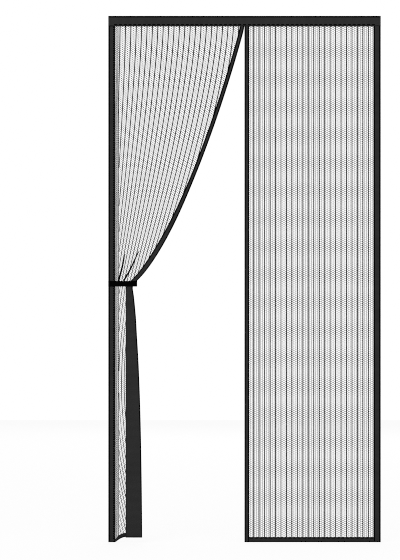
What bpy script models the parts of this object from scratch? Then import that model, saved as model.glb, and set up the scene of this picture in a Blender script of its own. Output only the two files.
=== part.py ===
# Magnetic insect screen for a doorway: two net panels under one header tape,
# the right panel hanging straight and the left one tied back to its border.
# X runs to the right, Z up, and the front faces -Y. The origin is the middle of
# the adhesive face of the top fastening tape, which lies on the door frame.

import math

import bpy
from mathutils import Matrix, Vector

# Driving dimensions, in metres
SCREEN_WIDTH = 1.090
SCREEN_HEIGHT = 2.105
HEADER_HEIGHT = 0.040
BORDER_WIDTH = 0.026
BINDING_WIDTH = 0.018
HEM_HEIGHT = 0.021
TAPE = 0.0006
CLEARANCE = 0.0003

# Hook and loop fastening behind the header and the side borders
HOOK_TAPE = 0.0012
LOOP_TAPE = 0.0012
FASTENING_WIDTH = 0.018
FASTENING_INSET = 0.001

# Knitted net with heavier warp stripes
NET_WALL = 0.0006
RIDGE = 0.0004
STRIPE_PITCH = 0.022
STRIPE_WIDTH = 0.005
FIRST_STRIPE = 0.018
NET_IN_HEADER = 0.030
NET_IN_BORDER = 0.020
NET_IN_BINDING = 0.004
NET_IN_HEM = 0.015
TIE_HEIGHT = 0.006
GAP_MARGIN = 0.004
SMALLEST_GAP = 0.003
RIGHT_GAP_ROWS = 5

# Magnet bars sewn into the two leading bindings
MAGNET_PAIRS = 13
MAGNET_LENGTH = 0.028
MAGNET_WIDTH = 0.008
MAGNET_THICKNESS = 0.0025
CHANNEL_TAPER = 0.002

# Tieback strap, closed on the border by two small hook and loop pads
STRAP_HEIGHT = 0.022
STRAP_THICKNESS = 0.0012
STRAP_DROP = 1.0605
STRAP_REACH = 0.115
STRAP_SEWN = 0.0055
STRAP_BEND = 0.0024
STRAP_RAMP = 0.039
PAD_LENGTH = 0.018
PAD_HEIGHT = 0.016
PAD_THICKNESS = 0.001

# Curve of the left leading edge, from the header to the strap
FAN_TOP_SLOPE = 0.183
FAN_TOP_HANDLE = 0.050
FAN_STRAP_SLOPE = 0.976
FAN_STRAP_HANDLE = 0.218
FAN_BINDING_TOP = 0.017
FAN_BINDING_STRAP = 0.0245

# Left panel below the strap
TAIL_INSET = 0.070
TAIL_WIDTH = 0.0265
TAIL_SPREAD = 0.0405
TAIL_SPREAD_LENGTH = 0.345
TAIL_LIFT = 0.018
WAVE_START = 0.002
WAVE_LENGTH = 0.026

# Gathers of the left net: its stripes lean towards the border, and the cloth
# that is left over lies folded behind the leading binding
SELVEDGE_WIDTH = 0.0165
LEFT_STRIPE_PITCH = 0.0216
LEFT_FIRST_STRIPE = 0.0425
LEAN_AT_STRAP = 0.295
LEAN_ACROSS = 0.62
LEAN_DOWN = 1.44
STACK_TOP = 0.0008
STACK_STRAP = 0.015
STACK_BOTTOM = 0.010
STACK_FOLDS = 3
STACK_INSET = 0.0011
LEFT_TIE_EVERY = 4

# Sheets of the model, from the door frame (y = 0) towards the front
LOOP_BACK = -HOOK_TAPE - CLEARANCE
TAPE_BACK = LOOP_BACK - LOOP_TAPE - CLEARANCE
CAVITY = NET_WALL + RIDGE + 2 * CLEARANCE
CHANNEL = MAGNET_THICKNESS + 2 * CLEARANCE
TAPE_MIDDLE = TAPE_BACK - TAPE - CAVITY / 2
TAPE_FRONT = TAPE_BACK - 2 * TAPE - CAVITY
NET_BACK = TAPE_BACK - TAPE - CLEARANCE
NET_FRONT = NET_BACK - NET_WALL

# Heights and sides that the pieces share
SIDE = SCREEN_WIDTH / 2
BORDER_INSIDE = SIDE - BORDER_WIDTH
HEADER_TOP = HEADER_HEIGHT / 2
HEADER_FOOT = -HEADER_HEIGHT / 2
SCREEN_FOOT = HEADER_TOP - SCREEN_HEIGHT
TAPE_TOP = HEADER_FOOT - CLEARANCE
NET_TOP = HEADER_FOOT + NET_IN_HEADER
HEM_TOP = SCREEN_FOOT + HEM_HEIGHT
TAIL_FOOT = SCREEN_FOOT + TAIL_LIFT
STRAP_TOP = HEADER_TOP - STRAP_DROP
STRAP_FOOT = STRAP_TOP - STRAP_HEIGHT
STRAP_INSIDE = -SIDE + STRAP_REACH - STRAP_THICKNESS
SELVEDGE = -BORDER_INSIDE + SELVEDGE_WIDTH
NET_LEFT = -BORDER_INSIDE - NET_IN_BORDER
MAGNET_START = CHANNEL / 2 + TAPE + CLEARANCE
CHANNEL_END = MAGNET_START + MAGNET_WIDTH + 2 * CLEARANCE
MAGNET_PITCH = (TAPE_TOP - SCREEN_FOOT) / MAGNET_PAIRS
CURVE_STEPS = 200


def clear_scene():
    for old in list(bpy.data.objects):
        bpy.data.objects.remove(old, do_unlink=True)


def make_material(name, color, roughness, metallic=0.0):
    material = bpy.data.materials.new(name)
    material.use_nodes = True
    shader = material.node_tree.nodes["Principled BSDF"]
    shader.inputs["Base Color"].default_value = (*color, 1.0)
    shader.inputs["Roughness"].default_value = roughness
    shader.inputs["Metallic"].default_value = metallic
    return material


def add_object(name, data, material):
    piece = bpy.data.objects.new(name, data)
    data.materials.append(material)
    collection.objects.link(piece)
    return piece


# Smooth step from 0 to 1 as x goes from start to end
def ease(x, start, end):
    share = min(max((x - start) / (end - start), 0.0), 1.0)
    return share * share * (3 - 2 * share)


# Points of an arc, with its angles in degrees
def arc(centre_x, centre_y, radius, start, end, steps):
    points = []
    for i in range(steps + 1):
        angle = math.radians(start + (end - start) * i / steps)
        points.append((centre_x + radius * math.cos(angle), centre_y + radius * math.sin(angle)))
    return points


# A flat outline drawn as a filled curve and extruded to a length
def extrude_outline(name, outline, length, material, location, rotation=(0.0, 0.0, 0.0)):
    data = bpy.data.curves.new(name, "CURVE")
    data.dimensions = "2D"
    data.fill_mode = "BOTH"
    data.extrude = length / 2
    spline = data.splines.new("POLY")
    spline.points.add(len(outline) - 1)
    for point, (x, y) in zip(spline.points, outline):
        point.co = (x, y, 0.0, 1.0)
    spline.use_cyclic_u = True
    piece = add_object(name, data, material)
    piece.location = location
    piece.rotation_euler = rotation
    return piece


def add_box(name, low, high, material):
    bpy.ops.mesh.primitive_cube_add(size=1.0)
    piece = bpy.context.object
    for other in list(piece.users_collection):
        other.objects.unlink(piece)
    collection.objects.link(piece)
    piece.name = name
    piece.data.name = name
    piece.data.materials.append(material)
    size = [b - a for a, b in zip(low, high)]
    piece.data.transform(Matrix.Diagonal((*size, 1.0)))
    piece.location = [(a + b) / 2 for a, b in zip(low, high)]
    return piece


# Mesh builder in which vertices that share a place become one, so that lines
# that run together close up without faces of no width
class Shell:
    def __init__(self):
        self.places = {}
        self.vertices = []
        self.faces = []

    def vertex(self, point):
        key = tuple(round(value, 6) for value in point)
        if key not in self.places:
            self.places[key] = len(self.vertices)
            self.vertices.append(point)
        return self.places[key]

    def rows(self, rows_of_points):
        return [[self.vertex(point) for point in row] for row in rows_of_points]

    def face(self, *corners):
        ring = [corner for i, corner in enumerate(corners) if corner != corners[i - 1]]
        if len(set(ring)) >= 3:
            self.faces.append(ring)

    def build(self, name, material):
        mesh = bpy.data.meshes.new(name)
        mesh.from_pydata(self.vertices, [], self.faces)
        mesh.update()
        return add_object(name, mesh, material)


# Cross-section of a tape folded over an edge: the fold is at u = 0, the two
# leaves end at u = width, and v runs through the thickness
def fold_outline(width):
    inner = CAVITY / 2
    outer = inner + TAPE
    outline = [(width, -outer)]
    outline += arc(outer, 0.0, outer, -90, -270, 6)
    outline += [(width, outer), (width, inner)]
    outline += arc(outer, 0.0, inner, 90, 270, 4)
    outline.append((width, -inner))
    return outline


# The same fold with a wider channel for the magnets next to it; on a slanted
# tape a level cut through the channel is longer by channel_scale
def channel_outline(width, channel_scale=1.0):
    inner = CHANNEL / 2
    outer = inner + TAPE
    seam = CAVITY / 2
    channel_end = CHANNEL_END * channel_scale
    seam_start = channel_end + CHANNEL_TAPER * channel_scale
    outline = [(width, -seam - TAPE), (seam_start, -seam - TAPE), (channel_end, -outer)]
    outline += [(u * channel_scale, v) for u, v in arc(outer, 0.0, outer, -90, -270, 6)]
    outline += [(channel_end, outer), (seam_start, seam + TAPE), (width, seam + TAPE)]
    outline += [(width, seam), (seam_start, seam), (channel_end, inner)]
    outline += [(u * channel_scale, v) for u, v in arc(outer, 0.0, inner, 90, 270, 4)]
    outline += [(channel_end, -inner), (seam_start, -seam), (width, -seam)]
    return outline


# The left leading edge: a Bezier curve from the header to the strap
def fan_curve():
    start = Vector((-CLEARANCE, TAPE_TOP))
    end = Vector((STRAP_INSIDE - CLEARANCE, STRAP_TOP))
    first = start + Vector((-FAN_TOP_SLOPE, -1.0)) * FAN_TOP_HANDLE
    last = end + Vector((FAN_STRAP_SLOPE, 1.0)) * FAN_STRAP_HANDLE
    points = []
    for i in range(CURVE_STEPS + 1):
        t = i / CURVE_STEPS
        s = 1.0 - t
        points.append(start * s ** 3 + first * 3 * s * s * t + last * 3 * s * t * t + end * t ** 3)
    return points


# Below the strap the leading edge spreads out again into the tail
def tail_curve():
    points = []
    for i in range(CURVE_STEPS + 1):
        z = STRAP_FOOT + (TAIL_FOOT - STRAP_FOOT) * i / CURVE_STEPS
        spread = TAIL_SPREAD * (1.0 - math.exp((z - STRAP_FOOT) / TAIL_SPREAD_LENGTH))
        points.append(Vector((-SIDE + TAIL_INSET + TAIL_WIDTH + spread, z)))
    return points


# Reads x at a height from points in falling order of height
def along(points, z):
    if z >= points[0].y:
        return points[0].x
    for upper, lower in zip(points, points[1:]):
        if z >= lower.y:
            share = (z - upper.y) / (lower.y - upper.y)
            return upper.x + (lower.x - upper.x) * share
    return points[-1].x


# The point at a distance along the leading edge, measured from the header
def edge_point(points, distance):
    run = 0.0
    for upper, lower in zip(points, points[1:]):
        step = (lower - upper).length
        if run + step >= distance:
            return upper.lerp(lower, (distance - run) / step)
        run += step
    return points[-1]


# Knots of the leading edge: each magnet lies in the middle of a straight
# stretch, and no knot falls inside the strap or close beside another
def edge_knots():
    smooth = fan_curve() + tail_curve()
    knots = [smooth[0], smooth[CURVE_STEPS], smooth[CURVE_STEPS + 1], smooth[-1]]
    for i in range(MAGNET_PAIRS):
        centre = (i + 0.5) * MAGNET_PITCH
        reach = 1 / 6 if edge_point(smooth, centre).y > STRAP_TOP else 1 / 2
        for offset in (-reach, reach, 0.5):
            knot = edge_point(smooth, centre + offset * MAGNET_PITCH)
            apart = min(abs(knot.y - other.y) for other in knots)
            if apart > STRAP_HEIGHT / 2 and not STRAP_FOOT < knot.y < STRAP_TOP:
                knots.append(knot)
    return sorted(knots, key=lambda knot: -knot.y)


def lead_right(z):
    return along(knots, z)


# Level width of the leading tape: a little wider towards the strap, where it
# slants, and spread out between a straight inner edge and the tail's curve
def lead_width(z):
    if z <= STRAP_FOOT:
        return lead_right(z) + SIDE - TAIL_INSET
    if z < STRAP_TOP:
        share = (z - STRAP_FOOT) / (STRAP_TOP - STRAP_FOOT)
        return TAIL_WIDTH + (FAN_BINDING_STRAP - TAIL_WIDTH) * share
    share = max(TAPE_TOP - z, 0.0) / (TAPE_TOP - STRAP_TOP)
    return FAN_BINDING_TOP + (FAN_BINDING_STRAP - FAN_BINDING_TOP) * share ** 1.5


# Front of the surplus net that lies folded behind the binding
def stack_front(z):
    if z > STRAP_TOP:
        share = max(TAPE_TOP - z, 0.0) / (TAPE_TOP - STRAP_TOP)
        return NET_FRONT - STACK_TOP - (STACK_STRAP - STACK_TOP) * share
    share = max(STRAP_FOOT - z, 0.0) / (STRAP_FOOT - TAIL_FOOT)
    return NET_FRONT - STACK_STRAP - (STACK_BOTTOM - STACK_STRAP) * share


def lead_middle(z):
    return stack_front(z) - CLEARANCE - CHANNEL / 2 - TAPE


# Where a stripe of the left net lies before it meets an edge
def left_stripe(index, z):
    start = LEFT_FIRST_STRIPE + index * LEFT_STRIPE_PITCH
    drop = max(TAPE_TOP - max(z, STRAP_TOP), 0.0) / (TAPE_TOP - STRAP_TOP)
    lean = LEAN_AT_STRAP * (start / BORDER_INSIDE) ** LEAN_ACROSS * drop ** LEAN_DOWN
    return -BORDER_INSIDE + start - lean


# Outline of the folded net in front of the wall, without its two feet on the
# wall: fold edges, the tongue sewn into the binding, and fold edges again
def stack_outline(z, foot, tongue=True):
    leaf = lead_right(z) - lead_width(z)
    left = leaf - STACK_INSET
    right = lead_right(z) - STACK_INSET
    front = stack_front(z)
    fold = (foot - front) / STACK_FOLDS
    notch = min(fold, lead_width(z) / 12)
    points = []
    for i in range(STACK_FOLDS):
        points.append((left + notch, foot - fold * (i + 0.5)))
        points.append((left, foot - fold * (i + 1)))
    if tongue:
        middle = lead_middle(z)
        tip = leaf + NET_IN_BINDING
        points += [(left, middle - NET_WALL / 2), (tip, middle - NET_WALL / 2)]
        points += [(tip, middle + NET_WALL / 2), (left + NET_WALL, middle + NET_WALL / 2)]
        points.append((left + NET_WALL, front))
    points.append((right, front))
    for i in reversed(range(STACK_FOLDS)):
        points.append((right - notch, foot - fold * (i + 0.5)))
        if i:
            points.append((right, foot - fold * i))
    return points


# Upright lines of the left net at a height, as (x, ridge). A stripe that has
# run into the dense strip or the folds shares its line
def left_lines(z):
    stack_left = lead_right(z) - lead_width(z) - STACK_INSET
    lines = [(NET_LEFT, 0.0), (-BORDER_INSIDE + CLEARANCE, 0.0)]
    for share in (1 / 3, 2 / 3, 1):
        lines.append((-BORDER_INSIDE + SELVEDGE_WIDTH * share, 0.0))
    for index in range(left_stripes):
        centre = left_stripe(index, z)
        for offset, ridge in ((-STRIPE_WIDTH / 2, 0.0), (0.0, RIDGE), (STRIPE_WIDTH / 2, 0.0)):
            x = min(max(centre + offset, SELVEDGE), stack_left)
            lines.append((x, ridge if SELVEDGE < x < stack_left else 0.0))
    lines.append((stack_left, 0.0))
    lines.append((lead_right(z) - STACK_INSET, 0.0))
    return lines


# Upright lines of the right net, the same at each height
def right_lines():
    lines = [(BINDING_WIDTH - NET_IN_BINDING, 0.0), (BINDING_WIDTH + GAP_MARGIN, 0.0)]
    for index in range(right_stripes):
        centre = BINDING_WIDTH + FIRST_STRIPE + index * STRIPE_PITCH
        for offset, ridge in ((-STRIPE_WIDTH / 2, 0.0), (0.0, RIDGE), (STRIPE_WIDTH / 2, 0.0)):
            lines.append((centre + offset, ridge))
    lines.append((BORDER_INSIDE - GAP_MARGIN, 0.0))
    lines.append((BORDER_INSIDE + NET_IN_BORDER, 0.0))
    return lines


# Height of the lower edge of the left panel, which waves up from the border
def left_foot(x):
    start = -BORDER_INSIDE + WAVE_START
    return SCREEN_FOOT + TAIL_LIFT * ease(x, start, start + WAVE_LENGTH)


# A cloth wall from rows of front and back points. A cell in the set of gaps is
# left open, and a stack stands in front of the last column from its first row
# to its last
def cloth_wall(name, front_points, back_points, gaps, stacks, material):
    shell = Shell()
    front = shell.rows(front_points)
    back = shell.rows(back_points)
    last = len(front[0]) - 2
    stacked = {}
    for row, points in stacks.items():
        stacked[row] = [front[row][last]] + [shell.vertex(p) for p in points] + [front[row][last + 1]]
    cells = {(row, column) for row in range(len(front) - 1) for column in range(last + 1)} - gaps
    for row, column in sorted(cells):
        a, b = (row, column), (row, column + 1)
        c, d = (row + 1, column + 1), (row + 1, column)
        shell.face(*[back[r][k] for r, k in (a, b, c, d)])
        if column == last and row in stacked and row + 1 in stacked:
            upper, lower = stacked[row], stacked[row + 1]
            for i in range(len(upper) - 1):
                shell.face(upper[i], lower[i], lower[i + 1], upper[i + 1])
        else:
            shell.face(*[front[r][k] for r, k in (a, d, c, b)])
        sides = (((row - 1, column), a, b), ((row, column + 1), b, c),
                 ((row + 1, column), c, d), ((row, column - 1), d, a))
        for neighbour, (r1, k1), (r2, k2) in sides:
            if neighbour not in cells:
                shell.face(front[r1][k1], front[r2][k2], back[r2][k2], back[r1][k1])
    if stacked:
        shell.face(*stacked[min(stacked)])
        shell.face(*reversed(stacked[max(stacked)]))
    return shell.build(name, material)


# Open cells beside the stripes, from the first column that can open, except in
# the tied rows and where the space is too narrow
def open_cells(rows, ties, first_column):
    gaps = set()
    for row in set(range(len(rows) - 1)) - ties:
        for column in range(first_column, len(rows[0]) - 2, 3):
            widths = [lines[column + 1][0] - lines[column][0] for lines in rows[row:row + 2]]
            if min(widths) > SMALLEST_GAP:
                gaps.add((row, column))
    return gaps


def add_right_net(material):
    top = TAPE_TOP - GAP_MARGIN
    foot = HEM_TOP + GAP_MARGIN
    heights = [NET_TOP, top]
    for i in range(1, RIGHT_GAP_ROWS):
        tie = top + (foot - top) * i / RIGHT_GAP_ROWS
        heights += [tie + TIE_HEIGHT / 2, tie - TIE_HEIGHT / 2]
    heights += [foot, HEM_TOP - NET_IN_HEM]
    lines = right_lines()
    rows = [lines for z in heights]
    ties = {row for row in range(len(heights) - 1) if row % 2 == 0}
    gaps = open_cells(rows, ties, 1)
    front = [[(x, NET_FRONT - ridge, z) for x, ridge in lines] for z in heights]
    back = [[(x, NET_BACK, z) for x, ridge in lines] for z in heights]
    return cloth_wall("right_net", front, back, gaps, {}, material)


def add_left_net(material):
    foot = TAIL_FOOT + HEM_HEIGHT + CLEARANCE
    heights = [NET_TOP, TAPE_TOP, TAPE_TOP - GAP_MARGIN]
    closed = [(NET_TOP, TAPE_TOP - GAP_MARGIN)]
    for count, knot in enumerate(knots[1:-1], start=1):
        z = knot.y
        heights.append(z)
        if z == STRAP_TOP:
            heights.append(z + GAP_MARGIN)
            closed.append((z + GAP_MARGIN, STRAP_FOOT - GAP_MARGIN))
        elif z == STRAP_FOOT:
            heights.append(z - GAP_MARGIN)
        elif count % LEFT_TIE_EVERY == 0:
            heights.append(z - TIE_HEIGHT)
            closed.append((z, z - TIE_HEIGHT))
    heights = sorted((z for z in heights if z > foot + 2 * GAP_MARGIN), reverse=True)
    heights += [foot + GAP_MARGIN, foot]
    closed.append((foot + GAP_MARGIN, foot))
    ties = set()
    for row, (upper, lower) in enumerate(zip(heights, heights[1:])):
        middle = (upper + lower) / 2
        if any(low < middle < high for high, low in closed):
            ties.add(row)
    rows = [left_lines(z) for z in heights]
    gaps = open_cells(rows, ties, 4)
    front = [[(x, NET_FRONT - ridge, z) for x, ridge in row] for row, z in zip(rows, heights)]
    back = [[(x, NET_BACK, z) for x, ridge in row] for row, z in zip(rows, heights)]
    for points in (front[-1], back[-1]):
        for i, (x, y, z) in enumerate(points):
            points[i] = (x, y, left_foot(x) + HEM_HEIGHT + CLEARANCE)
    stacks = {}
    for row, z in enumerate(heights):
        if z <= TAPE_TOP:
            stacks[row] = [(x, y, z) for x, y in stack_outline(z, NET_FRONT)]
    return cloth_wall("left_net", front, back, gaps, stacks, material)


# The hem of the tied panel: net between two leaves, pressed flat, with the
# same folds behind the binding as the net above it
def add_left_hem(material):
    hem_front = NET_FRONT - TAPE
    hem_back = NET_BACK + TAPE
    xs = [x for x, ridge in left_lines(TAIL_FOOT)[1:]]
    front = []
    back = []
    for rise in (HEM_HEIGHT, 0.0):
        front.append([(x, hem_front, left_foot(x) + rise) for x in xs])
        back.append([(x, hem_back, left_foot(x) + rise) for x in xs])
    stacks = {}
    for row, z in enumerate((TAIL_FOOT + HEM_HEIGHT, TAIL_FOOT)):
        outline = stack_outline(TAIL_FOOT, hem_front, tongue=False)
        stacks[row] = [(x, y, z) for x, y in outline]
    return cloth_wall("left_hem", front, back, set(), stacks, material)


def add_left_binding(material):
    shell = Shell()
    rings = []
    for i, knot in enumerate(knots):
        above = knots[max(i - 1, 0)]
        below = knots[min(i + 1, len(knots) - 1)]
        slope = (above.x - below.x) / (above.y - below.y)
        outline = channel_outline(lead_width(knot.y), math.hypot(1.0, slope))
        middle = lead_middle(knot.y)
        rings.append([(knot.x - u, middle - v, knot.y) for u, v in outline])
    rows = shell.rows(rings)
    for upper, lower in zip(rows, rows[1:]):
        for i in range(len(upper)):
            shell.face(upper[i], lower[i], lower[i - 1], upper[i - 1])
    shell.face(*reversed(rows[0]))
    shell.face(*rows[-1])
    return shell.build("left_magnet_binding", material)


# Magnet bars at equal distances down both bindings, so that they pair up when
# the screen is closed
def add_magnets(material):
    offset = MAGNET_START + CLEARANCE / 2 + MAGNET_WIDTH / 2
    size = (MAGNET_WIDTH / 2, MAGNET_THICKNESS / 2, MAGNET_LENGTH / 2)
    for i in range(MAGNET_PAIRS):
        distance = (i + 0.5) * MAGNET_PITCH
        number = f"{i + 1:02d}"
        right = add_box(f"right_magnet_{number}", [-s for s in size], size, material)
        right.location = (offset, TAPE_MIDDLE, TAPE_TOP - distance)
        left = add_box(f"left_magnet_{number}", [-s for s in size], size, material)
        spot = edge_point(knots, distance)
        above = next(k for k in reversed(knots) if k.y > spot.y)
        below = next(k for k in knots if k.y <= spot.y)
        rise = Vector((above.x - below.x, lead_middle(above.y) - lead_middle(below.y), above.y - below.y))
        rise.normalize()
        across = Vector((0.0, 1.0, 0.0)).cross(rise).normalized()
        depth = rise.cross(across)
        centre = Vector((spot.x, lead_middle(spot.y), spot.y)) - across * offset
        left.rotation_euler = Matrix((across, depth, rise)).transposed().to_euler()
        left.location = centre


# Hook tapes on the door frame and loop tapes on the back of the screen
def add_fastening(hook_material, loop_material):
    half = SIDE - FASTENING_INSET
    side_low = (-half, SCREEN_FOOT + FASTENING_INSET)
    side_high = (-half + FASTENING_WIDTH, -FASTENING_WIDTH / 2 - CLEARANCE)
    spans = {
        "top": ((-half, -FASTENING_WIDTH / 2), (half, FASTENING_WIDTH / 2)),
        "left": (side_low, side_high),
        "right": ((-side_high[0], side_low[1]), (-side_low[0], side_high[1])),
    }
    for place, ((x1, z1), (x2, z2)) in spans.items():
        add_box(f"{place}_hook_tape", (x1, -HOOK_TAPE, z1), (x2, 0.0, z2), hook_material)
        add_box(f"{place}_loop_tape", (x1, LOOP_BACK - LOOP_TAPE, z1), (x2, LOOP_BACK, z2), loop_material)


# The strap runs from the outer edge of the border across the bunch, round its
# side and back to the inner edge of the border
def add_strap(material, hook_material, loop_material):
    pad_x = -SIDE + FASTENING_INSET
    pad_z = (STRAP_TOP + STRAP_FOOT) / 2
    hook_front = TAPE_FRONT - CLEARANCE - PAD_THICKNESS
    loop_front = hook_front - CLEARANCE - PAD_THICKNESS
    low = (pad_x, hook_front, pad_z - PAD_HEIGHT / 2)
    high = (pad_x + PAD_LENGTH, TAPE_FRONT - CLEARANCE, pad_z + PAD_HEIGHT / 2)
    add_box("strap_hook_pad", low, high, hook_material)
    low = (pad_x, loop_front, pad_z - PAD_HEIGHT / 2)
    high = (pad_x + PAD_LENGTH, hook_front - CLEARANCE, pad_z + PAD_HEIGHT / 2)
    add_box("strap_loop_pad", low, high, loop_material)
    border_face = loop_front - CLEARANCE
    bunch_face = lead_middle(STRAP_TOP) - CHANNEL / 2 - TAPE - CLEARANCE
    rear_face = TAPE_BACK + CLEARANCE

    def face(offset):
        turn = STRAP_BEND + offset
        x = STRAP_INSIDE - STRAP_BEND
        points = [(-SIDE, border_face - offset), (-BORDER_INSIDE, border_face - offset)]
        points.append((-BORDER_INSIDE + STRAP_RAMP, bunch_face - offset))
        points += arc(x, bunch_face + STRAP_BEND, turn, -90, 0, 5)
        points += arc(x, rear_face - STRAP_BEND, turn, 0, 90, 5)
        points.append((-BORDER_INSIDE - STRAP_SEWN, rear_face + offset))
        return points

    outline = face(0.0) + face(STRAP_THICKNESS)[::-1]
    return extrude_outline("tieback_strap", outline, STRAP_HEIGHT, material, (0.0, 0.0, pad_z))


def add_tapes(material):
    upright = SCREEN_FOOT + (TAPE_TOP - SCREEN_FOOT) / 2
    height = TAPE_TOP - SCREEN_FOOT
    header = fold_outline(HEADER_HEIGHT)
    extrude_outline("header_tape", header, SCREEN_WIDTH, material,
                    (0.0, TAPE_MIDDLE, HEADER_TOP), (0.0, math.pi / 2, 0.0))
    border = fold_outline(BORDER_WIDTH)
    extrude_outline("left_border_tape", border, height, material, (-SIDE, TAPE_MIDDLE, upright))
    extrude_outline("right_border_tape", border, height, material,
                    (SIDE, TAPE_MIDDLE, upright), (0.0, 0.0, math.pi))
    extrude_outline("right_magnet_binding", channel_outline(BINDING_WIDTH), height, material,
                    (0.0, TAPE_MIDDLE, upright))
    hem_start = BINDING_WIDTH + CLEARANCE
    hem_end = BORDER_INSIDE - CLEARANCE
    extrude_outline("right_hem", fold_outline(HEM_HEIGHT), hem_end - hem_start, material,
                    ((hem_start + hem_end) / 2, TAPE_MIDDLE, SCREEN_FOOT), (0.0, -math.pi / 2, 0.0))


clear_scene()
collection = bpy.data.collections.new("magnetic_insect_screen")
bpy.context.scene.collection.children.link(collection)

knots = edge_knots()
right_stripes = int((BORDER_INSIDE - BINDING_WIDTH - FIRST_STRIPE - 2 * GAP_MARGIN) / STRIPE_PITCH) + 1
left_span = lead_right(TAPE_TOP) - lead_width(TAPE_TOP) - STRIPE_WIDTH + BORDER_INSIDE
left_stripes = int((left_span - LEFT_FIRST_STRIPE) / LEFT_STRIPE_PITCH) + 1

binding_cloth = make_material("black_binding_cloth", (0.028, 0.028, 0.028), 0.85)
net_yarn = make_material("black_net_yarn", (0.022, 0.022, 0.022), 0.8)
strap_cloth = make_material("black_strap_cloth", (0.004, 0.004, 0.004), 0.8)
hook_plastic = make_material("black_hook_tape", (0.012, 0.012, 0.012), 0.6)
loop_pile = make_material("black_loop_tape", (0.015, 0.015, 0.015), 0.95)
magnet_steel = make_material("nickel_magnet", (0.55, 0.54, 0.52), 0.3, 1.0)

add_tapes(binding_cloth)
add_left_binding(binding_cloth)
add_right_net(net_yarn)
add_left_net(net_yarn)
add_left_hem(binding_cloth)
add_fastening(hook_plastic, loop_pile)
add_strap(strap_cloth, hook_plastic, loop_pile)
add_magnets(magnet_steel)
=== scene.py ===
import math

import bpy
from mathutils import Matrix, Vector, noise


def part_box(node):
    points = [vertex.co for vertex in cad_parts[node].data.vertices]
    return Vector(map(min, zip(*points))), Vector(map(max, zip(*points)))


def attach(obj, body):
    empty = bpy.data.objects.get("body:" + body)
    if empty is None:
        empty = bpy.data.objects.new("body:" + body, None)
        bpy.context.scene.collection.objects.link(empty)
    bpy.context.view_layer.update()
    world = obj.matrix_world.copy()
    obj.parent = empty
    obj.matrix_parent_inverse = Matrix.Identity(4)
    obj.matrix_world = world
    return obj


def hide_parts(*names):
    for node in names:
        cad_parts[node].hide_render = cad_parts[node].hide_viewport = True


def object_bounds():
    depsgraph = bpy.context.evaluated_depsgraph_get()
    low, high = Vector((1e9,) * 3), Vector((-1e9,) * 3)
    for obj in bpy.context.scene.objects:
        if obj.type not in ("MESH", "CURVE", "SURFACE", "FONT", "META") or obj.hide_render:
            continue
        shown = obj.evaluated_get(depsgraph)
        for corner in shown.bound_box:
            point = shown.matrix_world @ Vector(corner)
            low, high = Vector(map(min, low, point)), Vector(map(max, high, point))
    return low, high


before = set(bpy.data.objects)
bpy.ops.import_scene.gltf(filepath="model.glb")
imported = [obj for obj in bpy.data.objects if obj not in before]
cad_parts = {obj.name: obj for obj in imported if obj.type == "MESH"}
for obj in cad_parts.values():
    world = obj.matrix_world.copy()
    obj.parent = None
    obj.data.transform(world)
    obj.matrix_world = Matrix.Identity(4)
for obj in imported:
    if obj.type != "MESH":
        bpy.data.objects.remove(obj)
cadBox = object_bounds()
print("frame loaded")


# camera, light and floor
view = {"x": -0.1782, "z": -1.0365, "distance": 8.0, "seenHeight": 2.2414, "front": -0.0058}

bpy.ops.object.camera_add(location=(view["x"], view["front"] - view["distance"], view["z"]),
                          rotation=(math.pi / 2, 0, 0))
camera = bpy.context.object
camera.data.sensor_width = 36.0
camera.data.lens = 36.0 * view["distance"] / view["seenHeight"]
camera.data.clip_end = 60.0
bpy.context.scene.camera = camera
bpy.context.scene.view_settings.view_transform = "Standard"
bpy.context.scene.cycles.use_denoising = False  # the denoiser smears the holes of the net away,
bpy.context.scene.cycles.filter_width = 1.0       # and a wide pixel filter blurs them
print("camera set")


def linearColour(hexValue):  # sRGB hex to the linear values that Blender mixes
    parts = [int(hexValue[i:i + 2], 16) / 255 for i in (1, 3, 5)]
    return [p / 12.92 if p <= 0.04045 else ((p + 0.055) / 1.055) ** 2.4 for p in parts] + [1.0]


def addNode(tree, kind, settings=None, links=None):  # one node, its settings and what feeds it
    node = tree.nodes.new(kind)
    for key, value in (settings or {}).items():
        if isinstance(key, int) or key in node.inputs:
            node.inputs[key].default_value = value
        else:
            setattr(node, key, value)
    for socket, source in (links or {}).items():
        tree.links.new(source, node.inputs[socket])
    return node


studio = {"background": "#ffffff", "surroundLight": 0.62, "keyPower": 130.0, "fillPower": 70.0,
          "floorColour": "#ffffff", "floorGlow": 0.88, "floorGap": 0.004, "floorSize": 14.0}

world = bpy.data.worlds.new("paleStudio")
bpy.context.scene.world = world
world.use_nodes = True
worldTree = world.node_tree
worldTree.nodes.clear()
rays = addNode(worldTree, "ShaderNodeLightPath")
seenDirect = addNode(worldTree, "ShaderNodeMath", {"operation": "MAXIMUM"},
                     {0: rays.outputs["Is Camera Ray"], 1: rays.outputs["Is Transmission Ray"]})
seen = addNode(worldTree, "ShaderNodeMath", {"operation": "MAXIMUM"},
               {0: seenDirect.outputs[0], 1: rays.outputs["Is Glossy Ray"]})
strength = addNode(worldTree, "ShaderNodeMapRange", {"To Min": studio["surroundLight"], "To Max": 1.0},
                   {"Value": seen.outputs[0]})
sky = addNode(worldTree, "ShaderNodeBackground", {"Color": linearColour(studio["background"])},
              {"Strength": strength.outputs[0]})
addNode(worldTree, "ShaderNodeOutputWorld", None, {"Surface": sky.outputs[0]})

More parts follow.
